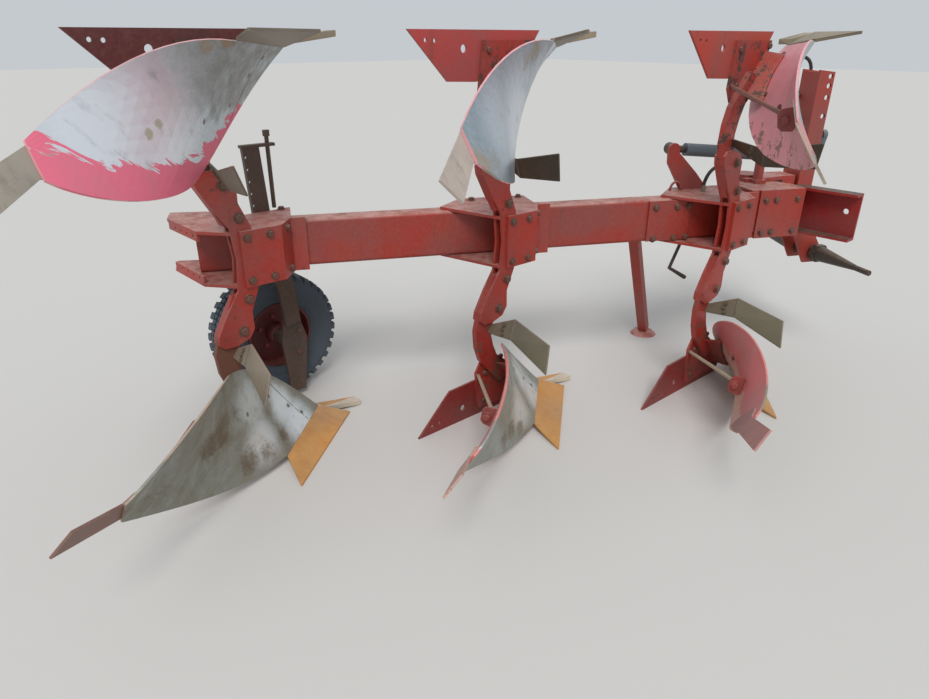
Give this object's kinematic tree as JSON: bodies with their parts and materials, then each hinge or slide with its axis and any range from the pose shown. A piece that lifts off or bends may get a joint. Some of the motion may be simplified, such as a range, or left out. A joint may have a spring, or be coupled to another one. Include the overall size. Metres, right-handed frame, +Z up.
{
  "type": "three-furrow mounted reversible plough",
  "caption": "Mounted reversible mouldboard plough with mirrored upper and lower bodies on a skewed box beam, turnover headstock, depth wheel and parking stand.",
  "frame": {"origin": "middle of the whole outline in plan, at the ground that the lower bodies, wheel and stand rest on", "axes": "+X along the travel, +Y to the left of travel, +Z up"},
  "size_m": [4.0592, 2.2283, 1.64],
  "materials": {
    "beam_paint": "faded orange-red paint, pink and chalky on top",
    "shadow_paint": "dark red worn paint",
    "board_steel": "soil-polished steel with remains of red paint",
    "share_steel": "soil-worn steel, ochre to grey",
    "drab_steel": "weathered grey-brown steel",
    "dark_steel": "dark worn steel",
    "tyre_rubber": "dusty blue-black rubber",
    "rim_paint": "maroon paint, rusty",
    "cylinder_paint": "blue-grey paint"
  },
  "bodies": {
    "frame": {"main_beam": "beam_paint", "joint_plate": "beam_paint", "pivot_frame": "beam_paint", "front_slide": "shadow_paint", "crank_handle": "dark_steel", "bracket_front": "beam_paint", "bracket_middle": "beam_paint", "bracket_rear": "beam_paint", "leg_upper_front": "shadow_paint", "leg_upper_middle": "shadow_paint", "leg_upper_rear": "shadow_paint", "leg_lower_front": "shadow_paint", "leg_lower_middle": "shadow_paint", "leg_lower_rear": "shadow_paint", "landside_upper_front": "beam_paint", "landside_upper_middle": "beam_paint", "landside_upper_rear": "beam_paint", "landside_lower_front": "beam_paint", "landside_lower_middle": "beam_paint", "landside_lower_rear": "beam_paint", "board_upper_front": "board_steel", "board_upper_middle": "board_steel", "board_upper_rear": "board_steel", "board_lower_front": "board_steel", "board_lower_middle": "board_steel", "board_lower_rear": "board_steel", "share_upper_front": "share_steel", "share_upper_middle": "share_steel", "share_upper_rear": "share_steel", "share_lower_front": "share_steel", "share_lower_middle": "share_steel", "share_lower_rear": "share_steel", "tail_upper_front": "drab_steel", "tail_upper_middle": "drab_steel", "tail_upper_rear": "drab_steel", "tail_lower_front": "drab_steel", "tail_lower_middle": "drab_steel", "tail_lower_rear": "drab_steel", "trashboard_upper_front": "drab_steel", "trashboard_upper_middle": "drab_steel", "trashboard_upper_rear": "drab_steel", "trashboard_lower_front": "drab_steel", "trashboard_lower_middle": "drab_steel", "trashboard_lower_rear": "drab_steel", "wheel_column": "dark_steel", "wheel_arm": "dark_steel", "stand_sleeve": "beam_paint", "crank_arm": "beam_paint"},
    "wheel": {"wheel_rim": "rim_paint", "tyre": "tyre_rubber"},
    "stand": {"stand": "beam_paint"},
    "swivel": {"swivel": "beam_paint"},
    "swing_barrel": {"swing_barrel": "cylinder_paint"},
    "swing_rod": {"swing_rod": "dark_steel"},
    "headstock": {"headstock": "beam_paint", "cross_shaft": "dark_steel"},
    "turnover_barrel": {"turnover_barrel": "cylinder_paint"},
    "turnover_rod": {"turnover_rod": "dark_steel"}
  },
  "joints": [
    {"name": "wheel_spin", "type": "hinge", "parent": "frame", "child": "wheel", "pos_m": [-0.788, 1.0193, 0.3], "axis": [0, 1, 0], "continuous": true},
    {"name": "stand_slide", "type": "slide", "parent": "frame", "child": "stand", "axis": [-0.4745, -0.1466, 0.868], "range_m": [0, 0.3]},
    {"name": "working_swing", "type": "hinge", "parent": "frame", "child": "swivel", "pos_m": [1.39359, -0.1569, 0.82], "axis": [0, 0, 1], "range_deg": [0, 27.18]},
    {"name": "swing_barrel_turn", "type": "hinge", "parent": "swivel", "child": "swing_barrel", "pos_m": [1.33444, -0.25019, 1.082], "axis": [0, 0, 1], "range_deg": [-26.7, 0.3]},
    {"name": "swing_rod_slide", "type": "slide", "parent": "swing_barrel", "child": "swing_rod", "axis": [-0.8847, 0.4587, 0.0832], "range_m": [-0.001, 0.0522]},
    {"name": "turnover", "type": "hinge", "parent": "swivel", "child": "headstock", "pos_m": [1.63821, -0.28253, 0.82], "axis": [-0.8896, 0.4568, 0], "range_deg": [0, 180]},
    {"name": "turnover_barrel_turn", "type": "hinge", "parent": "headstock", "child": "turnover_barrel", "pos_m": [1.76987, -0.35014, 1.15], "axis": [-0.8896, 0.4568, 0], "range_deg": [0, 24]},
    {"name": "turnover_rod_slide", "type": "slide", "parent": "turnover_barrel", "child": "turnover_rod", "axis": [0.0948, 0.1846, -0.9782], "range_m": [-0.077, 0]}
  ],
  "couplings": [
    {"joint": "swing_barrel_turn", "follows": "working_swing", "ratio": -0.97105},
    {"joint": "swing_rod_slide", "follows": "working_swing", "m_per_rad": 0.10796}
  ]
}
